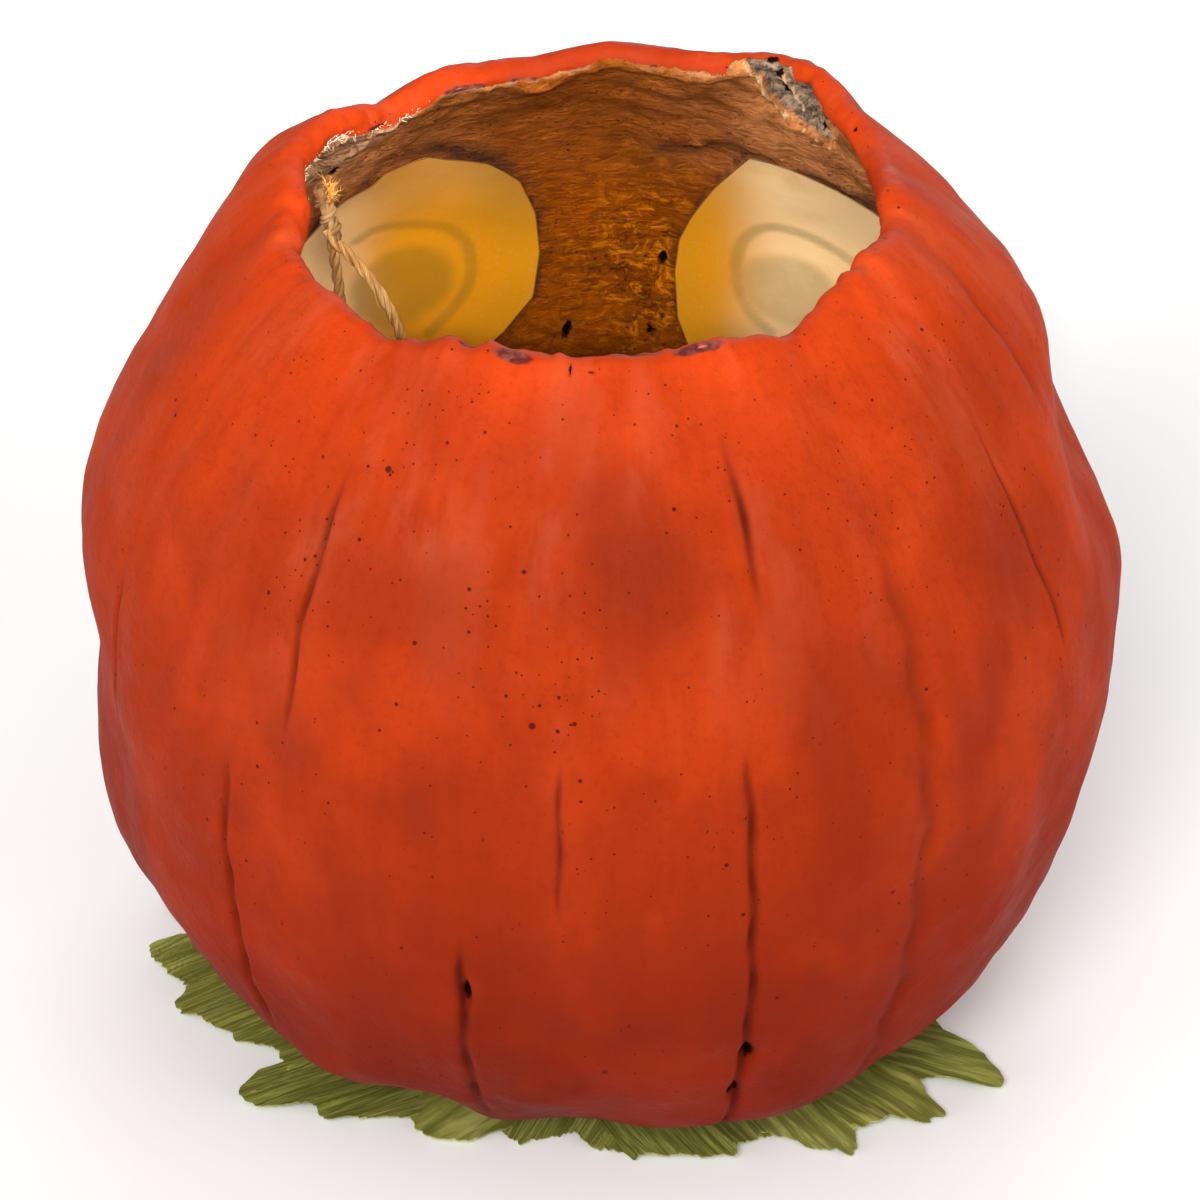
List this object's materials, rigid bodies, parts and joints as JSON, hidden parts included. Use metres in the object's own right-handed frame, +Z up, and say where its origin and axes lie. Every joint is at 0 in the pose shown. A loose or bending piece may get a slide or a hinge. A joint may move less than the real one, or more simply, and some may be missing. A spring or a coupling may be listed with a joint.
{
  "type": "carved pumpkin lantern",
  "caption": "Hollow ribbed pumpkin lantern of painted paper pulp with a cut face over paper windows, an open top, a crepe leaf collar and a twine loop",
  "frame": {"origin": "middle of the flat foot, on the surface that the lantern stands on", "axes": "+Z up, +Y out of the cut face, +X to the right for someone who looks at the back"},
  "size_m": [0.2593, 0.2625, 0.2245],
  "materials": {
    "painted_pulp": "satin orange-red paint brushed on rough paper pulp, bare brown pulp inside",
    "window_paper": "thin translucent paper, cream to amber",
    "crepe_paper": "matt crinkled crepe paper",
    "hemp_twine": "matt twisted natural fibre"
  },
  "bodies": {
    "root": {"shell": "painted_pulp", "eye_paper_left": "window_paper", "eye_paper_right": "window_paper", "nose_paper": "window_paper", "mouth_paper": "window_paper", "leaf_01": "crepe_paper", "leaf_02": "crepe_paper", "leaf_03": "crepe_paper", "leaf_04": "crepe_paper", "leaf_05": "crepe_paper", "leaf_06": "crepe_paper", "leaf_07": "crepe_paper", "leaf_08": "crepe_paper", "leaf_09": "crepe_paper", "leaf_10": "crepe_paper", "leaf_11": "crepe_paper", "leaf_12": "crepe_paper", "leaf_13": "crepe_paper", "leaf_14": "crepe_paper", "leaf_15": "crepe_paper", "twine": "hemp_twine", "twine_knot": "hemp_twine"}
  },
  "joints": []
}
